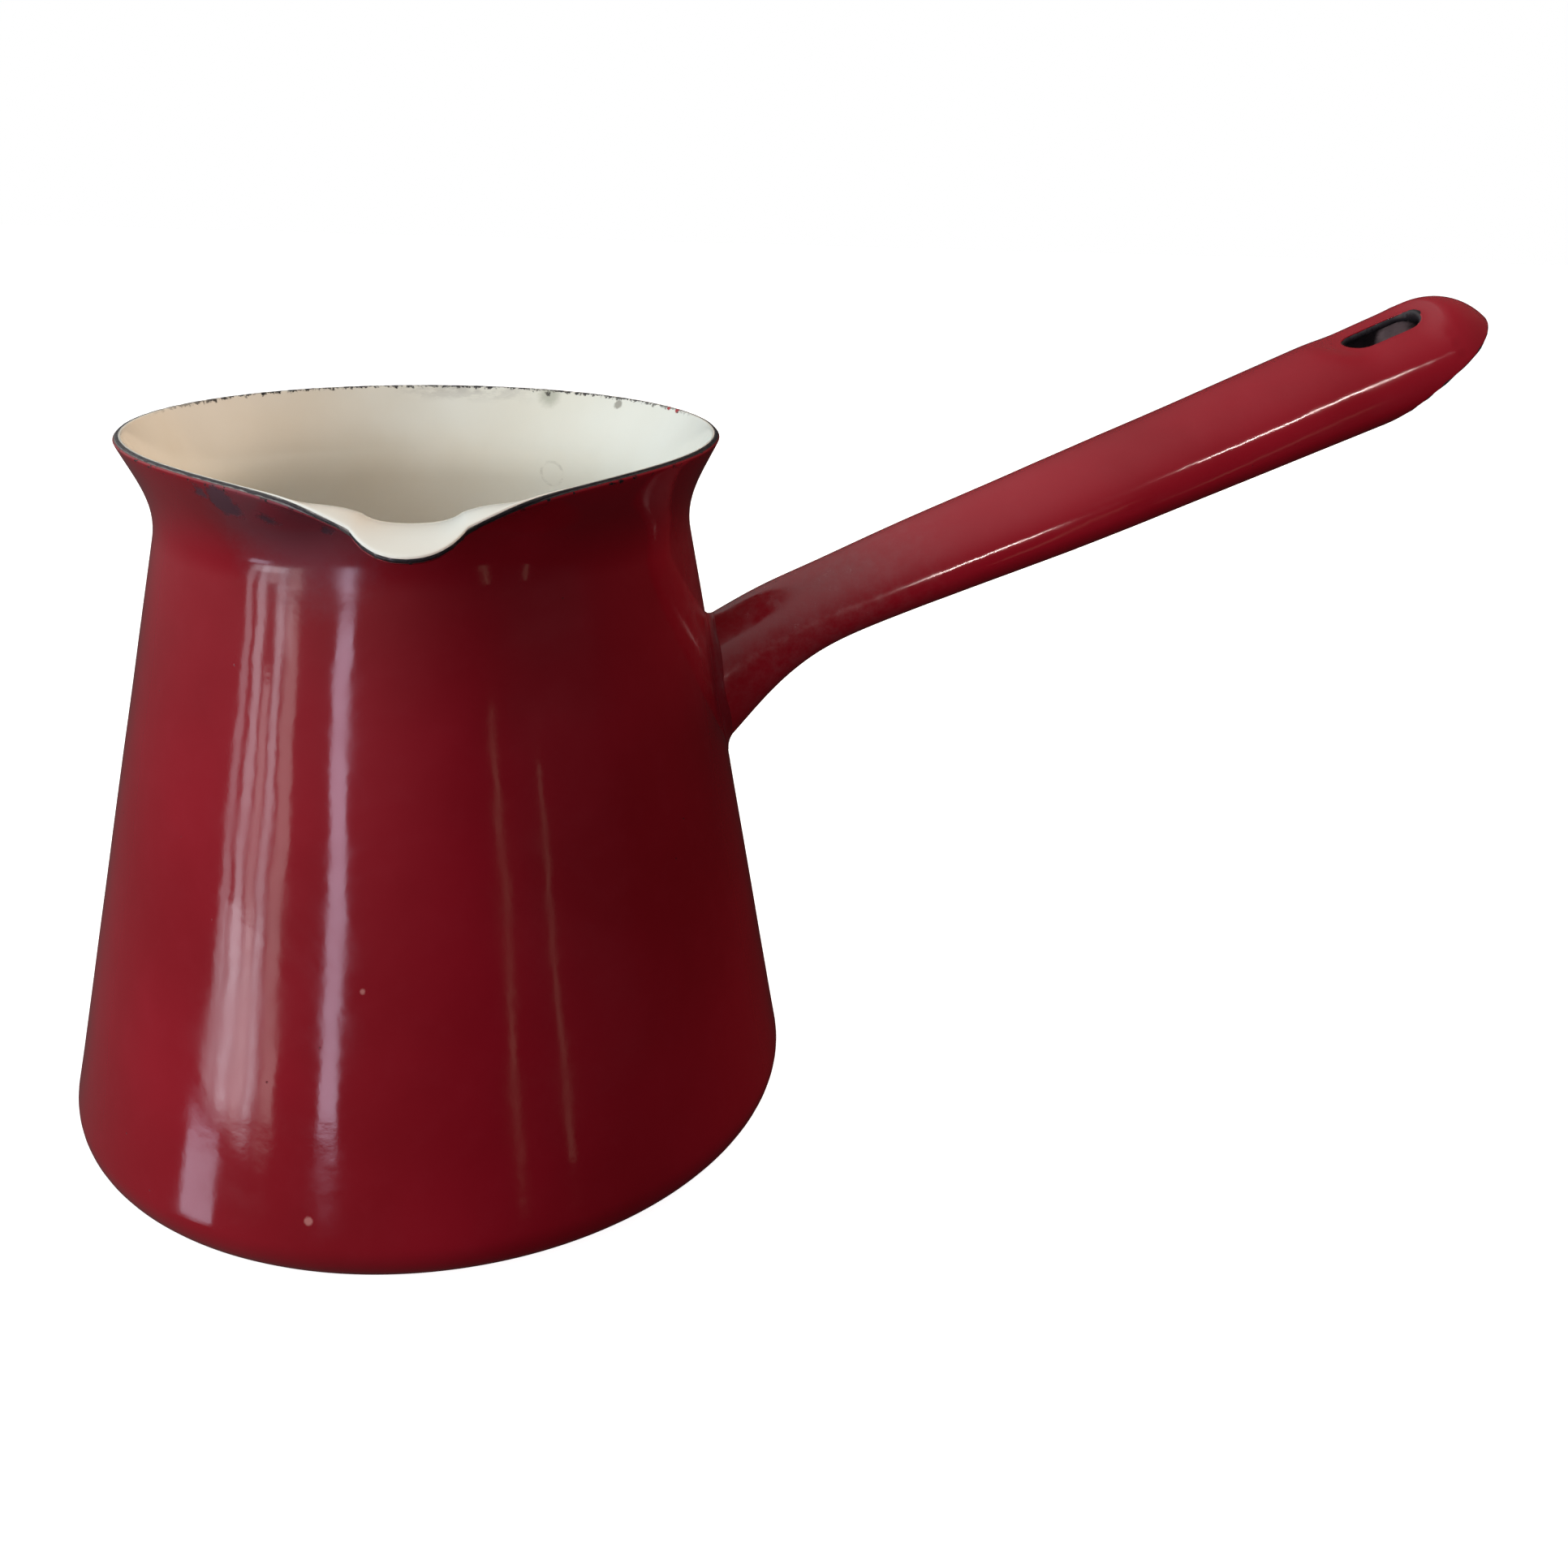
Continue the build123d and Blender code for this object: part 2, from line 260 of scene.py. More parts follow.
def rim_bead():
    """The dark edging: a thin uneven bead between the red and the white, wide at chips."""
    count = 1536
    angles = pot_angles(count)
    turn = np.radians(angles)
    back = smooth(np.abs(angles), 60, 110)
    chips = smooth(ripple(turn, 16, 21, 40, 260), 0.7, 1.5) * (0.25 + 0.75 * back)
    red_side = 0.20 + 0.045 * ripple(turn, 10, 22, 5, 90)
    white_side = 0.98 + 0.03 * ripple(turn, 10, 23, 5, 90) + 0.12 * chips
    lip_worn = smooth(-np.abs(angles + 38), -26, -12)
    red_side = red_side - 0.12 * lip_worn * smooth(ripple(turn, 14, 24, 30, 160), -0.6, 0.8)
    middle, half = (red_side + white_side) / 2, (white_side - red_side) / 2
    rows = []
    for t in np.linspace(0, 2 * pi, 19)[:-1]:
        depth = middle - half * cos(t)
        top = np.maximum(cap_reach(depth), -0.05) + 0.065 + 0.012 * ripple(turn, 8, 25, 20, 200)
        reach = -0.35 + (top + 0.35) * sin(t) if sin(t) > 0 else -0.35 + 0.3 * sin(t)
        rows.append(edge_point(angles, depth, np.minimum(reach, EDGE_REACH)))
    points = lift(angles, rows).reshape(-1, 3)
    faces = grid_faces(len(rows), count, wrap_rows=True)
    return mesh_piece("rim_edge_bead", points, faces, "rim_edge_enamel")


# ---- handle shape ------------------------------------------------------------------
def natural_spline(x, y):
    """Second derivatives of the natural cubic spline through columns of y."""
    n = len(x)
    a = np.zeros((n, n))
    b = np.zeros_like(y)
    a[0, 0] = a[-1, -1] = 1
    for i in range(1, n - 1):
        h0, h1 = x[i] - x[i - 1], x[i + 1] - x[i]
        a[i, i - 1:i + 2] = h0, 2 * (h0 + h1), h1
        b[i] = 6 * ((y[i + 1] - y[i]) / h1 - (y[i] - y[i - 1]) / h0)
    return np.linalg.solve(a, b)


BEND = natural_spline(STATIONS[:, 0], STATIONS[:, 1:])


def station(out):
    """Top, bottom, half width and widest share at distances out from the wall."""
    x, y = STATIONS[:, 0], STATIONS[:, 1:]
    i = np.clip(np.searchsorted(x, out) - 1, 0, len(x) - 2)
    h = x[i + 1] - x[i]
    a, b = (x[i + 1] - out) / h, (out - x[i]) / h
    a, b, h = a[..., None], b[..., None], h[..., None]
    value = a * y[i] + b * y[i + 1] + ((a**3 - a) * BEND[i] + (b**3 - b) * BEND[i + 1]) * h * h / 6
    return np.moveaxis(value, -1, 0)


def lean_at(out):
    return TWIST * np.clip(out / EYE_OUT, 0, 1)


NOSE = np.array([WALL_X + NOSE_OUT, 0, ROOT_HEIGHT + NOSE_RISE])
ALONG = np.array([cos(SLOPE), 0, sin(SLOPE)])


def skin(out, turn):
    """Outside of the handle: distance out, and turn round the section from +Y over the top."""
    out, turn = np.broadcast_arrays(np.asarray(out, float), np.asarray(turn, float))
    top, bottom, half, widest = station(out)
    crown = (top - bottom) * widest
    belly = (top - bottom) - crown
    y = half * np.cos(turn)
    z = np.where(np.sin(turn) > 0, crown, belly) * np.sin(turn)
    lean = lean_at(out)
    across, rise = y * np.cos(lean) - z * np.sin(lean), y * np.sin(lean) + z * np.cos(lean)
    middle = np.stack([WALL_X + out, 0 * out, ROOT_HEIGHT + top - crown], -1)
    ray = np.stack([0 * out, across, rise], -1)
    # The far end is rounded by a ball: rays are shortened to stay inside it.
    rel = middle - NOSE
    a = (ray * ray).sum(-1)
    b = 2 * (rel * ray).sum(-1)
    c = (rel * rel).sum(-1) - NOSE_RADIUS**2
    reach = (-b + np.sqrt(np.maximum(b * b - 4 * a * c, 0))) / (2 * a)
    past = ((middle + ray - NOSE) @ ALONG) > 0
    k = np.where(past & (c < 0), np.minimum(reach, 1), np.where(past & (c >= 0), 0.001, 1))
    return middle + ray * k[..., None]


def eye_frame():
    lean = lean_at(np.array(EYE_OUT))
    rise = ROOT_HEIGHT + NOSE_RISE - (NOSE_OUT - EYE_OUT) * tan(SLOPE)
    origin = np.array([WALL_X + EYE_OUT, 0, rise])
    z = np.array([-sin(SLOPE) * cos(lean), -sin(lean), cos(SLOPE) * cos(lean)])
    return origin, ALONG, np.cross(z, ALONG), z


EYE_AT, EYE_X, EYE_Y, EYE_Z = eye_frame()


def eye_gap(points):
    """Distance in the eye's plane from its outline, below zero inside it."""
    rel = points - EYE_AT
    x, y = rel @ EYE_X, rel @ EYE_Y
    straight = (EYE_LENGTH - EYE_WIDTH) / 2
    side = np.hypot(np.maximum(np.abs(x) - straight, 0), y) - EYE_WIDTH / 2
    return np.where(rel @ EYE_Z > 3, side, 99.0)


def solve_eye(x, y):
    """Out and turn of skin points above places in the eye's plane."""
    out, turn = EYE_SKIN_OUT + x * cos(SLOPE), pi / 2 - y / 10.0
    for _ in range(30):
        p = skin(out, turn) - EYE_AT
        du, dv = skin(out + 0.01, turn) - EYE_AT - p, skin(out, turn + 0.001) - EYE_AT - p
        a, b = du @ EYE_X / 0.01, dv @ EYE_X / 0.001
        c, d = du @ EYE_Y / 0.01, dv @ EYE_Y / 0.001
        ex, ey = x - p @ EYE_X, y - p @ EYE_Y
        det = a * d - b * c
        out, turn = out + (d * ex - b * ey) / det, turn + (a * ey - c * ex) / det
    return out, turn


def root_out(turns, depth):
    """Distance out at which the skin meets the pot's wall, at a depth in the wall."""
    low, high = np.full_like(turns, -2.6), np.full_like(turns, 12.0)
    for _ in range(40):
        mid = (low + high) / 2
        p = skin(mid, turns)
        inside = np.hypot(p[:, 0], p[:, 1]) < wall_radius(p[:, 2], depth)
        low, high = np.where(inside, mid, low), np.where(inside, high, mid)
    return (low + high) / 2


def handle_sheet(columns=168, step=0.62):
    """The handle's outside as one open sheet with its eye, cut at the far end."""
    turns = np.linspace(0, 2 * pi, columns + 1)[:-1] + 0.5 * pi / columns
    start = root_out(turns, 0.55)
    common = 14.0
    outs = [start + (common - start) * t for t in np.linspace(0, 1, 34)]
    lines = np.arange(common, 115.2, step)[1:]
    outs += [np.full(columns, o) for o in lines]
    outs = np.array(outs)
    middle_line = 34 + int(np.argmin(np.abs(lines - EYE_SKIN_OUT)))
    reach_lines = int(round(9.0 / step))
    row0, row1 = middle_line - reach_lines, middle_line + reach_lines
    middle_turn = int(np.argmin(np.abs(turns - pi / 2)))
    reach_turns = int(round(0.66 / (2 * pi / columns)))
    col0, col1 = middle_turn - reach_turns, middle_turn + reach_turns
    place = np.stack([outs, np.broadcast_to(turns, outs.shape)], -1)
    rows = len(outs)
    index = np.arange(rows * columns).reshape(rows, columns)
    faces = []
    for i in range(rows - 1):
        for j in range(columns):
            if row0 <= i < row1 and col0 <= j < col1:
                continue
            k = (j + 1) % columns
            faces.append([index[i, j], index[i, k], index[i + 1, k], index[i + 1, j]])
    # A ring of quads from the opening in the grid to the eye's outline.
    loop = [(row0, j) for j in range(col0, col1)] + [(i, col1) for i in range(row0, row1)]
    loop += [(row1, j) for j in range(col1, col0, -1)] + [(i, col0) for i in range(row1, row0, -1)]
    border = np.array([place[i, j] for i, j in loop])
    corner = skin(border[:, 0], border[:, 1]) - EYE_AT
    heading = np.arctan2(corner @ EYE_Y, corner @ EYE_X)
    straight, radius = (EYE_LENGTH - EYE_WIDTH) / 2, EYE_WIDTH / 2
    fine = np.linspace(-pi, pi, 1441)
    ox = np.cos(fine) * radius + straight * np.tanh(np.cos(fine) * 9)
    oy = np.sin(fine) * radius
    outline_heading = np.unwrap(np.arctan2(oy * 1.25, ox))
    ex = np.interp(heading, outline_heading, ox)
    ey = np.interp(heading, outline_heading, oy)
    eye_out, eye_turn = solve_eye(ex, ey)
    eye = np.stack([eye_out, eye_turn], -1)
    shares = np.linspace(0, 1, 19) ** 0.8
    ring_places = [border * (1 - s) + eye * s for s in shares[1:]]
    verts = [skin(outs, place[..., 1]).reshape(-1, 3)]
    verts += [skin(r[:, 0], r[:, 1]) for r in ring_places]
    verts = np.concatenate(verts)
    n = len(loop)
    before = [index[i, j] for i, j in loop]
    for k in range(len(ring_places)):
        after = [rows * columns + k * n + i for i in range(n)]
        for i in range(n):
            j = (i + 1) % n
            faces.append([before[i], before[j], after[j], after[i]])
        before = after
    bm = bmesh.new()
    bv = [bm.verts.new(v) for v in verts]
    for f in faces:
        try:
            bm.faces.new([bv[i] for i in f])
        except ValueError:
            pass
    loose = [v for v in bm.verts if not v.link_faces]
    bmesh.ops.delete(bm, geom=loose, context="VERTS")
    heel = Vector((WALL_X + HEEL_OUT, 0, ROOT_HEIGHT + HEEL_RISE))
    away = Vector((sin(END_CUT), 0, -cos(END_CUT)))
    heel = heel - away * END_ROOM
    geom = list(bm.verts) + list(bm.edges) + list(bm.faces)
    bmesh.ops.bisect_plane(
        bm, geom=geom, dist=1e-4, plane_co=heel, plane_no=away, clear_outer=True
    )
    bmesh.ops.remove_doubles(bm, verts=bm.verts, dist=0.03)
    bmesh.ops.recalc_face_normals(bm, faces=bm.faces)
    bm.normal_update()
    bm.verts.index_update()
    points = np.array([v.co for v in bm.verts])
    normals = np.array([v.normal for v in bm.verts])
    quads = [[v.index for v in f.verts] for f in bm.faces]
    bm.free()
    return points, normals, quads


def sheet_normals(points, faces):
    bm = bmesh.new()
    bv = [bm.verts.new(v) for v in points]
    for f in faces:
        bm.faces.new([bv[i] for i in f])
    bm.normal_update()
    normals = np.array([v.normal for v in bm.verts])
    bm.free()
    return normals


def shaped_sheet():
    """The handle's sheet with its soft dish round the eye and a hand-made waver."""
    points, normals, faces = handle_sheet()
    gap = np.maximum(eye_gap(points), 0)
    dip = EYE_DISH * np.exp(-(gap / EYE_DISH_REACH) ** 2) * (gap < 20)
    out = points[:, 0] - WALL_X
    seam = np.exp(-(points[:, 1] / 0.55) ** 2) * (normals[:, 2] < -0.4) * smooth(out, 4, 12) * 0.14
    waver = (wavy(points, 38, seed=31) - 1) * 0.05 * smooth(out, 3, 10)
    points = points - normals * (dip + seam - np.clip(waver, -0.12, 0))[:, None]
    return points, sheet_normals(points, faces), faces


def border_loops(faces):
    """Ordered loops of points on the open borders of a sheet."""
    count = {}
    for f in faces:
        for a, b in zip(f, list(f[1:]) + [f[0]]):
            count[(a, b)] = count.get((a, b), 0) + 1
    after = {a: b for (a, b) in count if (b, a) not in count}
    loops = []
    while after:
        start = next(iter(after))
        loop, at = [], start
        while at in after:
            loop.append(at)
            at = after.pop(at)
        loops.append(loop)
    return loops


def shell(points, normals, faces, outer, inner):
    """A closed layer between two depths under a sheet."""
    n = len(points)
    verts = np.concatenate([points - normals * outer, points - normals * inner])
    out = [list(f) for f in faces] + [[i + n for i in reversed(f)] for f in faces]
    for loop in border_loops(faces):
        for a, b in zip(loop, loop[1:] + loop[:1]):
            out.append([b, a, a + n, b + n])
    return verts, out


def edge_bead(points, normals, loop, depth, half, reach, seed, back=0.4, drop=None):
    """A rounded bead along an open border of the handle's sheet."""
    p = points[loop]
    nrm = normals[loop]
    way = np.roll(p, -1, 0) - np.roll(p, 1, 0)
    way /= np.linalg.norm(way, axis=1, keepdims=True)
    side = np.cross(way, nrm)
    side /= np.linalg.norm(side, axis=1, keepdims=True)
    turn = np.linspace(0, 2 * pi, len(loop), endpoint=False)
    uneven = 1 + 0.09 * ripple(turn, 8, seed, 2, 30)
    if drop is not None:
        away = np.linalg.norm(p - p[np.argmax(p @ drop)], axis=1)
        uneven = uneven + 1.1 * np.exp(-(away / 1.5) ** 2)
    rows = []
    for t in np.linspace(0, 2 * pi, 15)[:-1]:
        far = reach * max(cos(t), 0) + back * min(cos(t), 0)
        down = (depth + half * sin(t) * uneven)[:, None]
        rows.append(p - nrm * down + side * (far * uneven)[:, None])
    rows = np.array(rows)
    return rows.reshape(-1, 3), grid_faces(len(rows), len(loop), wrap_rows=True)


def root_fillet(columns=224):
    """The bead where the handle meets the pot: a hollow curve from one to the other."""
    turns = np.linspace(0, 2 * pi, columns + 1)[:-1]
    at = root_out(turns, 0.0)
    root = skin(at, turns)
    size = 1.35 + 0.14 * ripple(turns, 6, 41, 1, 9)
    up = skin(at + size * 0.9, turns)
    ahead = up - root
    ahead /= np.linalg.norm(ahead, axis=1, keepdims=True)
    around = np.roll(root, -1, 0) - np.roll(root, 1, 0)
    around /= np.linalg.norm(around, axis=1, keepdims=True)
    wall = root * [1, 1, 0]
    wall /= np.linalg.norm(wall, axis=1, keepdims=True)
    wall = wall * cos(TAPER) + np.array([0, 0, sin(TAPER)])
    outward = np.cross(around, wall)
    outward /= np.linalg.norm(outward, axis=1, keepdims=True)
    middle = root.mean(0)
    outward *= np.sign((outward * (root - middle)).sum(1))[:, None]
    nrm = np.cross(ahead, around)
    nrm *= np.sign((nrm * (root - middle)).sum(1))[:, None]
    nrm /= np.linalg.norm(nrm, axis=1, keepdims=True)
    a = root + ahead * size[:, None]
    b = root + outward * size[:, None]
    radius = np.hypot(b[:, 0], b[:, 1])
    b[:, :2] *= (wall_radius(b[:, 2], 0.0) / radius)[:, None]
    rows = []
    hollow = root + (a + b - 2 * root) * 0.12
    for t in np.linspace(0, 1, 11):
        rows.append((1 - t) ** 2 * a + 2 * t * (1 - t) * hollow + t * t * b)
    rows.append(b - wall * 0.35)
    rows.append(root - wall * 0.35 - nrm * 0.35)
    rows.append(a - nrm * 0.35)
    rows = np.array(rows)
    return rows.reshape(-1, 3), grid_faces(len(rows), columns, wrap_rows=True)


# ---- materials ---------------------------------------------------------------------
class Nodes:
    """Short ways to build a material's nodes; places are in millimetres."""

    def __init__(self, name):
        self.material = bpy.data.materials.new(name)
        self.material.use_nodes = True
        self.tree = self.material.node_tree
        self.tree.nodes.clear()
        self.output = self.new("ShaderNodeOutputMaterial")
        self.bsdf = self.new("ShaderNodeBsdfPrincipled")
        self.tree.links.new(self.bsdf.outputs[0], self.output.inputs[0])
        coords = self.new("ShaderNodeTexCoord")
        scale = self.new("ShaderNodeVectorMath", operation="SCALE")
        scale.inputs["Scale"].default_value = 1000.0
        self.link(coords.outputs["Object"], scale.inputs[0])
        self.place = scale.outputs[0]

    def new(self, kind, **settings):
        node = self.tree.nodes.new(kind)
        for key, value in settings.items():
            setattr(node, key, value)
        return node

    def link(self, a, b):
        self.tree.links.new(a, b)

    def put(self, socket, value):
        if isinstance(value, bpy.types.NodeSocket):
            self.link(value, socket)
        else:
            socket.default_value = value

    def math(self, operation, a, b=None, c=None):
        node = self.new("ShaderNodeMath", operation=operation)
        for i, value in enumerate((a, b, c)):
            if value is not None:
                self.put(node.inputs[i], value)
        return node.outputs[0]

    def noise(self, size, detail=3.0, rough=0.5, shift=0.0, stretch=None, distortion=0.0):
        place = self.place
        if shift or stretch:
            mapping = self.new("ShaderNodeMapping")
            mapping.inputs["Location"].default_value = (shift, shift * 0.7, shift * 1.3)
            mapping.inputs["Scale"].default_value = stretch or (1, 1, 1)
            self.link(place, mapping.inputs[0])
            place = mapping.outputs[0]
        node = self.new("ShaderNodeTexNoise")
        node.inputs["Scale"].default_value = 1.0 / size
        node.inputs["Detail"].default_value = detail
        node.inputs["Roughness"].default_value = rough
        node.inputs["Distortion"].default_value = distortion
        self.link(place, node.inputs["Vector"])
        return node.outputs["Fac"]

    def span(self, value, low, high, start=0.0, end=1.0):
        node = self.new("ShaderNodeMapRange", interpolation_type="SMOOTHSTEP")
        self.put(node.inputs[0], value)
        for i, number in enumerate((low, high, start, end)):
            node.inputs[i + 1].default_value = number
        return node.outputs[0]

    def blob(self, centre, radius, soft, rough=None, amount=0.0):
        """One inside a ball, zero outside it, with an uneven edge."""
        gap = self.new("ShaderNodeVectorMath", operation="DISTANCE")
        self.link(self.place, gap.inputs[0])
        gap.inputs[1].default_value = centre
        value = gap.outputs["Value"]
        if rough is not None:
            uneven = self.math("MULTIPLY", self.math("SUBTRACT", rough, 0.5), amount)
            value = self.math("ADD", value, uneven)
        return self.span(value, radius - soft, radius + soft, 1.0, 0.0)

    def mix(self, share, a, b):
        node = self.new("ShaderNodeMix", data_type="RGBA")
        self.put(node.inputs[0], share)
        for socket, value in ((node.inputs[6], a), (node.inputs[7], b)):
            linked = isinstance(value, bpy.types.NodeSocket)
            self.put(socket, value if linked else (*value, 1.0))
        return node.outputs[2]

    def axis(self, index):
        split = self.new("ShaderNodeSeparateXYZ")
        self.link(self.place, split.inputs[0])
        return split.outputs[index]

    def attribute(self, name):
        return self.new("ShaderNodeAttribute", attribute_name=name).outputs["Fac"]

    def bump(self, height, distance, strength=1.0, under=None):
        node = self.new("ShaderNodeBump")
        node.inputs["Strength"].default_value = strength
        node.inputs["Distance"].default_value = distance * MM
        self.link(height, node.inputs["Height"])
        if under is not None:
            self.link(under, node.inputs["Normal"])
        return node.outputs[0]

    def finish(self, colour, roughness, normal=None, metallic=0.0, ior=1.5):
        self.put(self.bsdf.inputs["Base Color"], colour)
        self.put(self.bsdf.inputs["Roughness"], roughness)
        self.bsdf.inputs["Metallic"].default_value = metallic
        self.bsdf.inputs["IOR"].default_value = ior
        if normal is not None:
            self.link(normal, self.bsdf.inputs["Normal"])
        return self.material


DARK = (0.012, 0.010, 0.012)


def red_enamel():
    n = Nodes("red_enamel_gloss")
    drift = n.noise(30, 3)
    fine = n.noise(3.0, 4, 0.6, 11)
    smudge = n.noise(14, 5, 0.65, 40, distortion=0.6)
    colour = n.mix(n.span(drift, 0.3, 0.7), (0.225, 0.0040, 0.0100), (0.275, 0.0060, 0.0145))
    colour = n.mix(n.math("MULTIPLY", n.span(fine, 0.45, 0.75), 0.08), colour, (0.30, 0.018, 0.03))
    # Fine dark pinholes in the enamel.
    pits = n.new("ShaderNodeTexVoronoi")
    pits.inputs["Scale"].default_value = 1 / 2.6
    n.link(n.place, pits.inputs["Vector"])
    pit = n.span(pits.outputs["Distance"], 0.03, 0.06, 1, 0)
    pit = n.math("MULTIPLY", pit, n.span(n.noise(9, 2, 0.5, 3), 0.58, 0.66))
    colour = n.mix(n.math("MULTIPLY", pit, 0.7), colour, (0.05, 0.006, 0.01))
    # The ware is rubbed grey on the outside of the collar, left of the lip.
    rag = n.noise(1.6, 6, 0.7, 5)
    worn = n.blob((-20.2, -33.0, 92.0), 2.3, 0.5, rag, 4.0)
    for centre, radius in (
        ((-15.6, -34.4, 90.5), 1.2),
        ((-22.8, -31.4, 92.7), 1.1),
        ((-9.6, -35.2, 88.6), 0.7),
    ):
        worn = n.math("MAXIMUM", worn, n.blob(centre, radius, 0.4, rag, 4.0))
    haze = n.blob((-13.0, -35.0, 89.5), 8.5, 5.0, rag, 6.0)
    colour = n.mix(n.math("MULTIPLY", haze, 0.38), colour, (0.17, 0.095, 0.12))
    colour = n.mix(n.math("MULTIPLY", worn, 0.75), colour, (0.060, 0.040, 0.055))
    # Chipped thin along the rim.
    near_rim = n.span(n.attribute("rim_gap"), 0.2, 0.6, 1, 0)
    chip = n.math("MULTIPLY", near_rim, n.span(n.noise(1.1, 5, 0.7, 17), 0.56, 0.62))
    colour = n.mix(chip, colour, DARK)
    # Two pale specks low on the front, and one at the handle's root.
    for centre, radius in (
        ((-13.5, -46.5, 8.8), 0.5),
        ((-6.8, -42.8, 36.0), 0.28),
        ((39.6, -7.4, 62.6), 0.3),
    ):
        speck = n.math("MULTIPLY", n.blob(centre, radius, 0.15, rag, 0.5), 0.6)
        colour = n.mix(speck, colour, (0.62, 0.25, 0.22))
    # Dust lies on the upper root of the handle; its pale greyish pink is also a painted sheen
    # there.
    dust_and_sheen = n.blob((48.0, -1.0, 74.0), 17.0, 13.0, rag, 5.0)
    dust_and_sheen = n.math("MULTIPLY", dust_and_sheen, n.span(n.noise(2.2, 5, 0.7, 9), 0.3, 0.8))
    # Part dust, part painted sheen: the root is lightened towards pale greyish pink.
    colour = n.mix(n.math("MULTIPLY", dust_and_sheen, 0.16), colour, (0.34, 0.22, 0.23))
    rough = n.span(smudge, 0.35, 0.75, 0.075, 0.16)
    rough = n.math("ADD", rough, n.math("MULTIPLY", worn, 0.35))
    rough = n.math("ADD", rough, n.math("MULTIPLY", dust_and_sheen, 0.22))
    rough = n.math("ADD", rough, n.math("MULTIPLY", haze, 0.08))
    wave = n.bump(n.noise(9.0, 2, 0.4, 2), 0.16, 0.55)
    peel = n.bump(n.noise(1.3, 3, 0.5, 6), 0.014, 0.5, wave)
    deep = n.bump(n.math("ADD", worn, n.math("ADD", pit, chip)), 0.06, 0.7, peel)
    deep.node.invert = True
    return n.finish(colour, rough, deep, ior=1.54)


def white_enamel():
    n = Nodes("white_enamel_gloss")
    drift = n.noise(24, 4)
    colour = n.mix(n.span(drift, 0.3, 0.75), (0.75, 0.74, 0.70), (0.70, 0.67, 0.605))
    # Old drink stains: rings and smears on the back of the collar.
    smear = n.noise(2.4, 6, 0.7, 21, (0.6, 0.6, 1.6))
    high = n.span(n.attribute("rim_gap"), 0.4, 3.0, 1, 0)
    band = n.math("MULTIPLY", n.blob((4.0, 36.0, 93.5), 8.5, 5.0, smear, 5.0), high)
    band = n.math("MULTIPLY", band, n.span(smear, 0.42, 0.58))
    colour = n.mix(n.math("MULTIPLY", band, 0.5), colour, (0.34, 0.32, 0.31))
    # Warm tan darkening lower down inside, mottled by noise: painted shade of the deep inside.
    low = n.span(n.axis(2), 30, 76, 1, 0)
    low = n.math("MULTIPLY", low, n.span(n.noise(12, 5, 0.6, 31), 0.35, 0.7))
    colour = n.mix(n.math("MULTIPLY", low, 0.5), colour, (0.60, 0.50, 0.38))
    ring = n.new("ShaderNodeVectorMath", operation="DISTANCE")
    n.link(n.place, ring.inputs[0])
    ring.inputs[1].default_value = (16.9, 29.2, 82.4)
    circle = n.span(ring.outputs["Value"], 1.5, 1.75)
    circle = n.math("MULTIPLY", circle, n.span(ring.outputs["Value"], 1.95, 2.2, 1, 0))
    circle = n.math("MULTIPLY", circle, n.span(smear, 0.4, 0.6))
    colour = n.mix(n.math("MULTIPLY", circle, 0.30), colour, (0.30, 0.28, 0.26))
    # Chips: dark jagged ones down from the rim, a greenish one and two small spots.
    rag = n.noise(0.8, 6, 0.75, 5)
    back = n.span(n.axis(1), 5, 24)
    ragged = n.math("MULTIPLY", n.math("SUBTRACT", n.noise(0.9, 6, 0.8, 8), 0.5), 2.6)
    near_rim = n.math("ADD", n.attribute("rim_gap"), ragged)
    chip = n.math("MULTIPLY", n.span(near_rim, 0.06, 0.22, 1, 0), back)
    dark = n.blob((16.6, 33.6, 94.0), 0.5, 0.15, rag, 1.4)
    dark = n.math("MAXIMUM", dark, n.blob((17.6, 33.2, 93.8), 0.3, 0.12, rag, 0.9))
    for centre, radius, soft, uneven, share, stain in (
        ((16.9, 33.4, 93.8), 1.6, 0.9, 1.5, 0.5, (0.20, 0.21, 0.15)),
        ((26.8, 25.5, 93.8), 0.75, 0.2, 1.0, 0.75, (0.22, 0.20, 0.17)),
    ):
        spot = n.math("MULTIPLY", n.blob(centre, radius, soft, rag, uneven), share)
        colour = n.mix(spot, colour, stain)
    colour = n.mix(n.math("MAXIMUM", chip, dark), colour, (0.022, 0.020, 0.022))
    red = n.blob((34.7, 14.4, 94.9), 0.62, 0.12, rag, 1.2)
    red = n.math("MAXIMUM", red, n.blob((33.6, 16.6, 94.8), 0.4, 0.1, rag, 1.0))
    colour = n.mix(red, colour, (0.40, 0.02, 0.03))
    rough = n.span(n.noise(10, 5, 0.6, 50), 0.35, 0.7, 0.08, 0.17)
    rough = n.math("ADD", rough, n.math("MULTIPLY", n.math("MAXIMUM", chip, band), 0.3))
    wave = n.bump(n.noise(8.0, 2, 0.4, 12), 0.14, 0.5)
    peel = n.bump(n.noise(1.1, 3, 0.5, 16), 0.012, 0.5, wave)
    deep = n.bump(n.math("MAXIMUM", chip, dark), 0.08, 0.8, peel)
    deep.node.invert = True
    return n.finish(colour, rough, deep, ior=1.5)


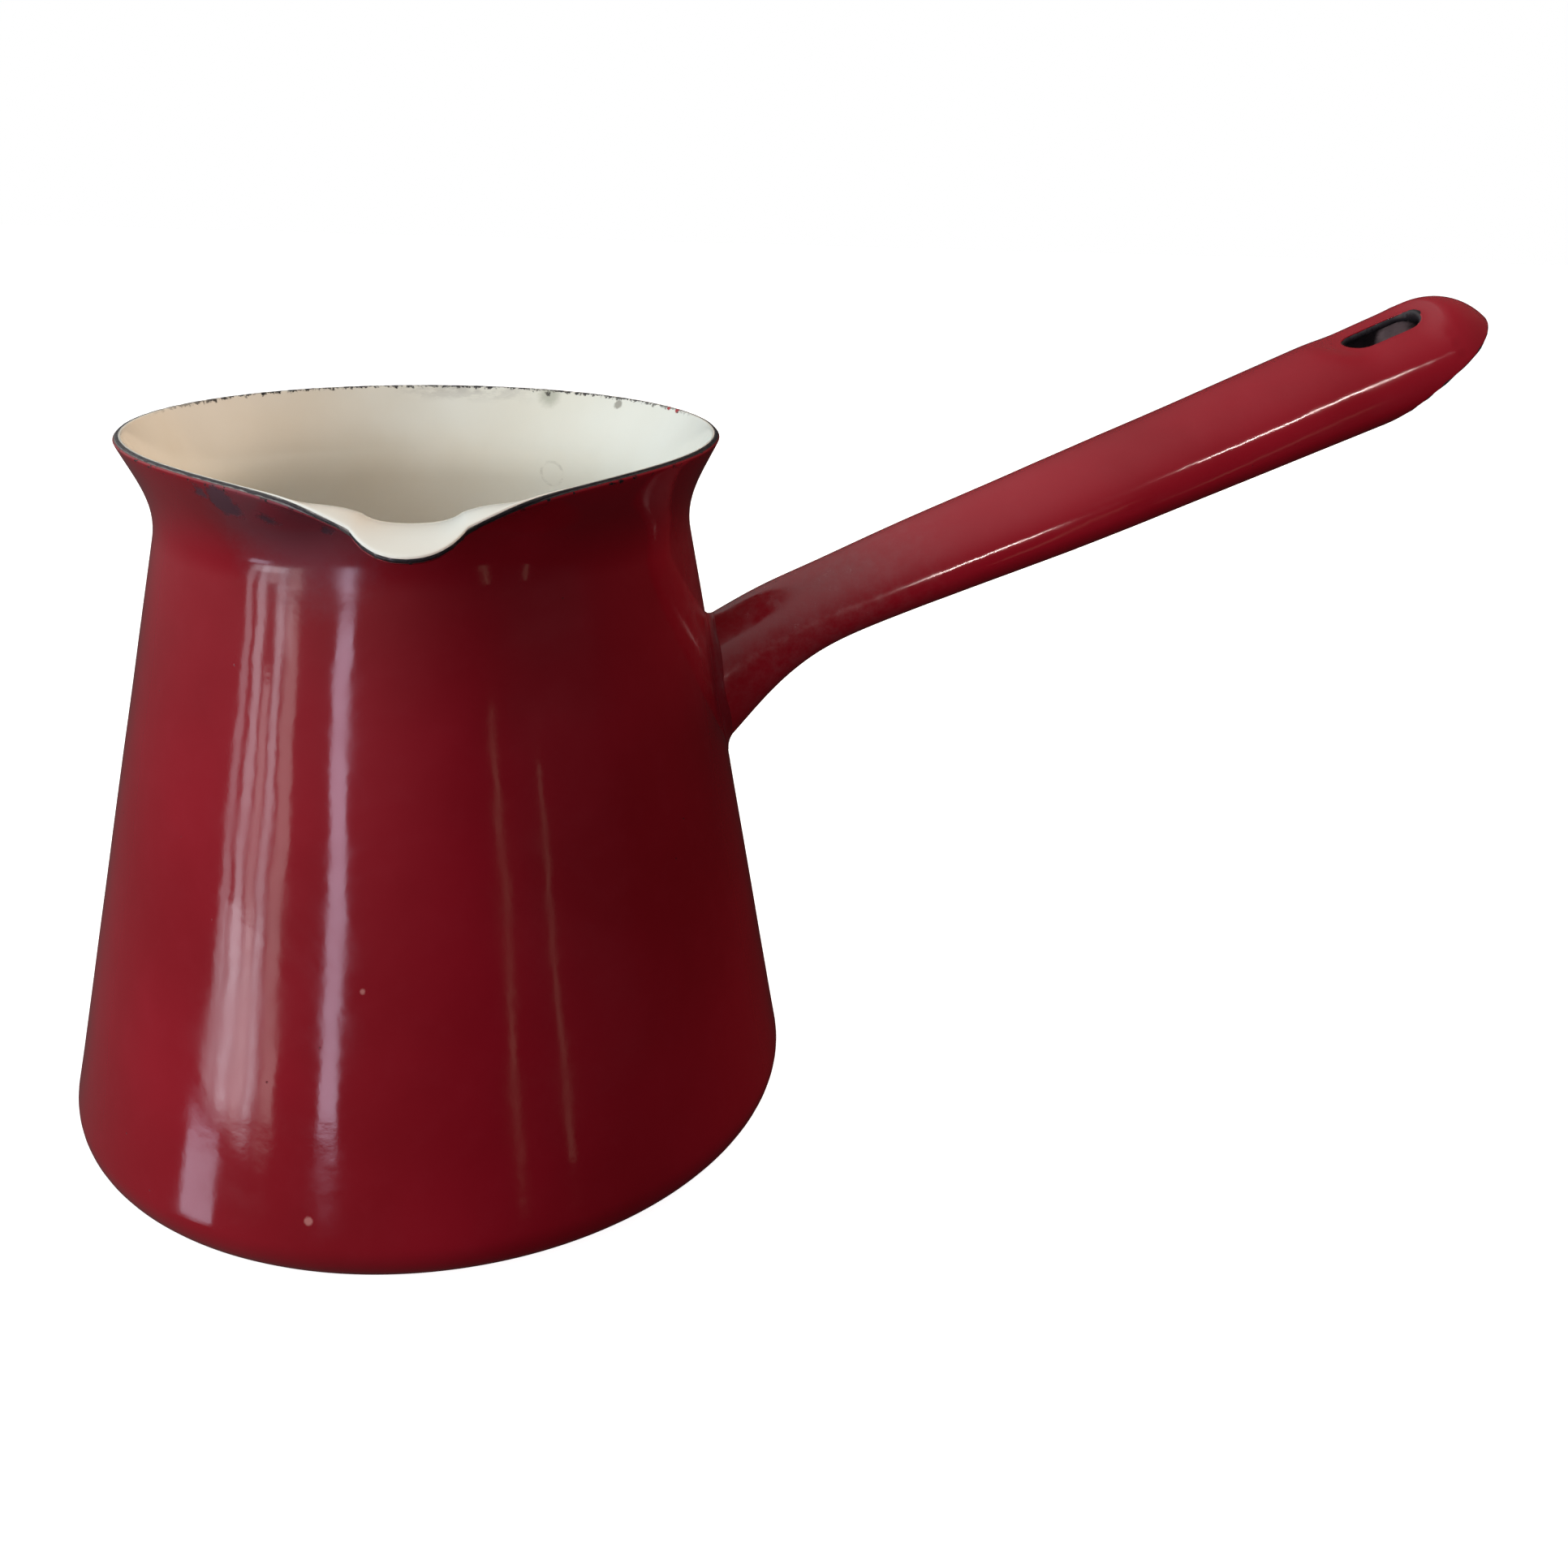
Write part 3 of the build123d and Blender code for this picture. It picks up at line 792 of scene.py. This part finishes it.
def dark_enamel():
    n = Nodes("dark_ground_enamel")
    mottle = n.noise(1.2, 5, 0.65)
    rust = n.span(n.noise(2.5, 5, 0.7, 8), 0.56, 0.72)
    colour = n.mix(n.span(mottle, 0.3, 0.7), (0.014, 0.011, 0.014), (0.030, 0.022, 0.026))
    colour = n.mix(n.math("MULTIPLY", rust, 0.35), colour, (0.11, 0.055, 0.035))
    # A pale pinkish patch inside the handle's far end: a painted reflection on the dark lining.
    pale = n.blob((143.0, 8.6, 108.2), 2.6, 0.8, mottle, 2.0)
    colour = n.mix(n.math("MULTIPLY", pale, 0.85), colour, (0.62, 0.50, 0.50))
    rough = n.span(n.noise(0.9, 4, 0.6, 4), 0.3, 0.7, 0.22, 0.55)
    grain = n.bump(n.noise(0.35, 4, 0.6, 7), 0.03, 0.6)
    return n.finish(colour, rough, grain)


def steel(name, pale=(0.36, 0.34, 0.33)):
    n = Nodes(name)
    streak = n.noise(0.5, 4, 0.6, 0, (1, 1, 0.12))
    colour = n.mix(n.span(streak, 0.3, 0.7), (0.22, 0.20, 0.19), pale)
    rough = n.span(n.noise(2.0, 4, 0.6, 3), 0.3, 0.7, 0.32, 0.55)
    return n.finish(colour, rough, n.bump(streak, 0.01, 0.5), metallic=1.0)


def floor_look():
    n = Nodes("pale_floor")
    grain = n.noise(180, 3)
    colour = n.mix(n.span(grain, 0.3, 0.7), (0.80, 0.80, 0.80), (0.82, 0.82, 0.82))
    n.bsdf.inputs["Emission Color"].default_value = (1, 1, 1, 1)
    n.bsdf.inputs["Emission Strength"].default_value = 0.93
    n.bsdf.inputs["Specular IOR Level"].default_value = 0.0
    return n.finish(colour, 0.9)


# ---- camera ------------------------------------------------------------------------
def add_camera():
    yaw, pitch, roll = radians(10.4), radians(14.49), radians(1.99)
    ahead = Vector((sin(yaw) * cos(pitch), cos(yaw) * cos(pitch), -sin(pitch)))
    right = Vector((cos(yaw), -sin(yaw), 0))
    up = right.cross(ahead)
    across = right * cos(roll) + up * sin(roll)
    over = up * cos(roll) - right * sin(roll)
    data = bpy.data.cameras.new("camera")
    data.sensor_width = 36.0
    data.lens = 35.04
    data.shift_y = -0.138
    data.clip_start = 0.01
    camera = bpy.data.objects.new("camera", data)
    turn = Matrix((across, over, -ahead)).transposed().to_4x4()
    camera.matrix_world = Matrix.Translation(Vector((10.786, -205.8, 128.654)) * MM) @ turn
    bpy.context.scene.collection.objects.link(camera)
    bpy.context.scene.camera = camera


# ---- pieces ------------------------------------------------------------------------
def add_pot():
    red = pot_layer(
        "pot_red_coat", 0.0, RED, "pot_red_enamel", 0.02, 0.26, 0.04, 3
    )
    core = pot_layer(
        "pot_steel_sheet", RED, STEEL, "pot_shell", 0.27, 0.83, 0.0, 5, 192
    )
    white = pot_layer(
        "pot_white_coat", STEEL, WALL, "pot_white_lining", 0.86, 1.08, 0.0, 9
    )
    return red, core, white


def add_handle():
    points, normals, faces = shaped_sheet()
    pieces = {}
    for name, outer, inner, node, slot in (
        ("handle_red_coat", 0.0, RED, "handle_red_enamel", "red_enamel"),
        ("handle_steel_sheet", RED + 0.01, STEEL - 0.01, "handle_shell", "bare_steel"),
        ("handle_ground_lining", STEEL, WALL, "handle_ground_coat", "dark_enamel"),
    ):
        verts, quads = shell(points, normals, faces, outer, inner)
        far = np.full(len(verts), 60.0)
        pieces[name] = mesh_piece(name, verts, quads, node, {"rim_gap": far})
    # Of the open borders far from the pot, the eye's rises least and the end's most.
    far_loops = [loop for loop in border_loops(faces) if points[loop][:, 0].mean() > 80]
    eye = min(far_loops, key=lambda loop: np.ptp(points[loop][:, 2]))
    end = max(far_loops, key=lambda loop: np.ptp(points[loop][:, 2]))
    verts, quads = edge_bead(points, normals, eye, 0.62, 0.46, 0.30, 51, drop=EYE_X + 0.35 * EYE_Y)
    pieces["eye_edge_bead"] = mesh_piece(
        "eye_edge_bead", verts, quads, "eye_edge_enamel"
    )
    verts, quads = edge_bead(points, normals, end, 0.56, 0.54, 0.28, 52)
    pieces["end_edge_bead"] = mesh_piece(
        "end_edge_bead", verts, quads, "handle_end_edge_enamel"
    )
    verts, quads = root_fillet()
    far = np.full(len(verts), 60.0)
    pieces["root_weld_bead"] = mesh_piece(
        "root_weld_bead", verts, quads, "handle_root_weld", {"rim_gap": far}
    )
    # The butt seam along the underside, inside the coats.
    outs = np.linspace(2.5, HEEL_OUT - 3.5, 140)
    rows = []
    for shift, depth in ((-0.07, 0.25), (0.07, 0.25), (0.07, 0.85), (-0.07, 0.85)):
        p = skin(outs, np.full(len(outs), 1.5 * pi + shift))
        rows.append(p + np.array([-sin(SLOPE) * depth, 0, cos(SLOPE) * depth]))
    rows = np.array(rows)
    quads = [list(f) for f in grid_faces(4, len(outs), wrap_rows=True, wrap_columns=False)]
    n = len(outs)
    quads += [[0, n, 2 * n, 3 * n], [4 * n - 1, 3 * n - 1, 2 * n - 1, n - 1]]
    pieces["underside_seam"] = mesh_piece(
        "underside_seam", rows.reshape(-1, 3), quads, "handle_seam_weld"
    )
    return pieces


# ---- light and floor ---------------------------------------------------------------
def add_panel(name, centre, size, energy, colour, aim):
    data = bpy.data.lights.new(name, "AREA")
    data.shape = "RECTANGLE"
    data.size, data.size_y = size[0] * MM, size[1] * MM
    data.energy = energy
    data.color = colour
    light = bpy.data.objects.new(name, data)
    place, target = Vector(centre) * MM, Vector(aim) * MM
    ahead = (target - place).normalized()
    side = ahead.cross(Vector((0, 0, 1))).normalized()
    over = side.cross(ahead)
    turn = Matrix((side, over, -ahead)).transposed().to_4x4()
    light.matrix_world = Matrix.Translation(place) @ turn
    light.visible_camera = False
    bpy.context.scene.collection.objects.link(light)
    return light


def add_strip(name, start, end, width, radiance, colour, aim):
    """A narrow panel lying along a line between two places, facing a third."""
    start, end, target = (Vector(p) * MM for p in (start, end, aim))
    centre = (start + end) / 2
    ahead = (target - centre).normalized()
    over = (end - start) - ahead * (end - start).dot(ahead)
    length = over.length
    over.normalize()
    energy = radiance * width * MM * length * pi
    light = add_panel(name, centre / MM, (width, length / MM), energy, colour, aim)
    side = ahead.cross(over)
    turn = Matrix((side, over, -ahead)).transposed().to_4x4()
    light.matrix_world = Matrix.Translation(centre) @ turn
    return light


def panel_towards(name, azimuth, distance, width, low, high, radiance, colour):
    """An upright panel seen from a place on the pot: widths and heights in millimetres."""
    about = (-12, -38)
    turn = radians(azimuth)
    x, y = about[0] + distance * cos(turn), about[1] + distance * sin(turn)
    middle = (low + high) / 2
    area = width * (high - low) * MM * MM
    energy = radiance * area * pi
    return add_panel(
        name, (x, y, middle), (width, high - low), energy, colour, (*about, middle)
    )


def add_lights(handle, lining, pieces):
    cool, violet, warm = (0.90, 0.90, 1.0), (0.86, 0.76, 1.0), (1.0, 0.74, 0.52)
    # Window panes and the narrow strip seen in the pot's left side.
    for i, (azimuth, width, low, high, strength, colour) in enumerate((
        (-163.5, 34, -150, 92, 2.2, cool),
        (-157.5, 40, -152, 100, 3.8, cool),
        (-152.6, 34, -150, 60, 2.9, (1.0, 0.86, 0.90)),
        (-148.2, 34, -150, 108, 3.9, cool),
        (-142.6, 52, -148, 110, 2.3, (1.0, 0.84, 0.84)),
        (-155.5, 150, -154, -62, 2.2, cool),
        (-147.0, 92, 84, 112, 1.6, cool),
        (-121.5, 62, -135, 122, 5.2, violet),
        (-163.5, 118, -232, -172, 3.4, (0.80, 0.78, 1.0)),
        (-64.0, 18, -150, 70, 0.7, warm),
        (-48.0, 16, -150, 40, 0.6, warm),
    )):
        panel_towards(f"pane_{i}", azimuth, 600, width, low, high, strength, colour)
    # Two slanted strips seen as a thin line along the handle's side.
    line = (1.0, 0.80, 0.76)
    only_handle = bpy.data.collections.new("lit_by_lines")
    only_handle.objects.link(handle["handle_red_coat"])
    for name, start, end, aim in (
        ("line_near", (77, -608, 75), (145, -600, 165), (76, -9, 78)),
        ("line_far", (200, -549, 335), (290, -499, 412), (118, -9, 96)),
    ):
        light = add_strip(name, start, end, 9, 85.0, line, aim)
        light.light_linking.receiver_collection = only_handle
    # A soft warm light for the lining alone, as if thrown back by the room in front.
    only_lining = bpy.data.collections.new("lit_by_room")
    only_lining.objects.link(lining)
    room = add_panel(
        "room", (-90, -620, 290), (420, 300), 1.6, (1.0, 0.80, 0.62), (0, 0, 80)
    )
    room.visible_glossy = False
    room.light_linking.receiver_collection = only_lining
    # The key is cooler on the lining than on the red.
    others = bpy.data.collections.new("lit_by_key")
    for piece in pieces:
        if piece is not lining:
            others.objects.link(piece)
    for name, energy, colour, receivers in (
        ("key_lining", 2.9, (0.60, 0.91, 1.0), only_lining),
        ("key", 4.2, (0.76, 0.94, 1.0), others),
    ):
        light = add_panel(name, (-650, -240, 440), (460, 460), energy, colour, (0, 0, 70))
        light.visible_glossy = False
        light.light_linking.receiver_collection = receivers
    # Soft light from above, the right and the front, for shading only.
    for name, place, size, energy, colour in (
        ("top", (-60, 20, 820), (560, 560), 0.8, (1.0, 0.95, 0.88)),
        ("fill", (500, 330, 400), (420, 420), 2.3, warm),
        ("front", (470, -430, 30), (420, 300), 0.5, (1.0, 0.88, 0.98)),
    ):
        light = add_panel(name, place, size, energy, colour, (0, 0, 70))
        light.visible_glossy = False


def add_world():
    world = bpy.data.worlds.new("room")
    bpy.context.scene.world = world
    world.use_nodes = True
    tree = world.node_tree
    tree.nodes.clear()
    output = tree.nodes.new("ShaderNodeOutputWorld")
    background = tree.nodes.new("ShaderNodeBackground")
    coords = tree.nodes.new("ShaderNodeTexCoord")
    split = tree.nodes.new("ShaderNodeSeparateXYZ")
    tree.links.new(coords.outputs["Generated"], split.inputs[0])

    def span(socket, low, high, start, end):
        node = tree.nodes.new("ShaderNodeMapRange")
        node.interpolation_type = "SMOOTHSTEP"
        tree.links.new(socket, node.inputs[0])
        for i, number in enumerate((low, high, start, end)):
            node.inputs[i + 1].default_value = number
        return node.outputs[0]

    def times(a, b):
        node = tree.nodes.new("ShaderNodeMath")
        node.operation = "MULTIPLY"
        tree.links.new(a, node.inputs[0])
        tree.links.new(b, node.inputs[1])
        return node.outputs[0]

    side = span(split.outputs["X"], -1.0, 0.35, 0.74, 0.07)
    height = span(split.outputs["Z"], -0.30, 0.95, 0.14, 1.8)
    strength = times(side, height)
    path = tree.nodes.new("ShaderNodeLightPath")
    mix = tree.nodes.new("ShaderNodeMix")
    tree.links.new(path.outputs["Is Camera Ray"], mix.inputs[0])
    tree.links.new(strength, mix.inputs[2])
    mix.inputs[3].default_value = 1.0
    background.inputs["Color"].default_value = (1, 1, 1, 1)
    tree.links.new(mix.outputs[0], background.inputs["Strength"])
    tree.links.new(background.outputs[0], output.inputs[0])


def add_floor():
    rows = np.linspace(-2600, 2600, 27)
    x, y = np.meshgrid(rows, rows, indexing="ij")
    points = np.stack([x, y, 0 * x], -1).reshape(-1, 3)
    mesh = bpy.data.meshes.new("floor")
    quads = grid_faces(27, 27, wrap_columns=False)
    mesh.from_pydata((points * MM).tolist(), [], [list(map(int, q)) for q in quads])
    floor = bpy.data.objects.new("floor", mesh)
    bpy.context.scene.collection.objects.link(floor)
    mesh.materials.append(floor_look())
    floor.visible_diffuse = False
    floor.visible_glossy = False
    floor.visible_shadow = False


def main():
    add_camera()
    red, white = red_enamel(), white_enamel()
    dark, sheet = dark_enamel(), steel("sheet_steel")
    weld = steel("weld_steel", (0.30, 0.28, 0.27))
    pot_red, core, lining = add_pot()
    bead = rim_bead()
    handle = add_handle()
    looks = {
        pot_red: red, lining: white, core: sheet, bead: dark,
        handle["handle_red_coat"]: red, handle["root_weld_bead"]: red,
        handle["handle_steel_sheet"]: sheet, handle["handle_ground_lining"]: dark,
        handle["eye_edge_bead"]: dark, handle["end_edge_bead"]: dark,
        handle["underside_seam"]: weld,
    }
    for piece, look in looks.items():
        piece.data.materials.append(look)
    add_floor()
    add_lights(handle, lining, looks)
    add_world()
    bpy.context.scene.view_settings.view_transform = "Standard"


main()
